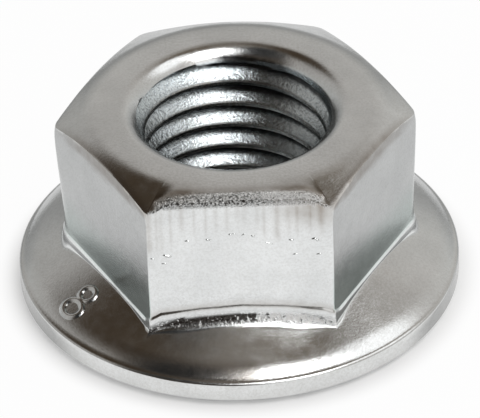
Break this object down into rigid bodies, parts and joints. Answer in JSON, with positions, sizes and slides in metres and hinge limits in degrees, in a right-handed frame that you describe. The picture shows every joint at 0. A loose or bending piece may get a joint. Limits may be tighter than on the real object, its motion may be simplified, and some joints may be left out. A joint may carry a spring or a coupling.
{
  "type": "serrated flange nut",
  "caption": "Hexagon nut with a wide conical flange in one piece; ratchet serrations under the flange bite into the clamped part and stop it working loose.",
  "frame": {"origin": "on the thread axis, in the plane of the bearing face under the flange", "axes": "+Z along the thread axis, from the flange towards the top of the hexagon; +X through a corner of the hexagon; +Y square to one of its flats"},
  "size_m": [0.034, 0.034, 0.0158],
  "materials": {
    "zinc_plated_steel": "bright zinc plate over cold-formed steel"
  },
  "bodies": {
    "root": {"flange_nut": "zinc_plated_steel"}
  },
  "joints": []
}
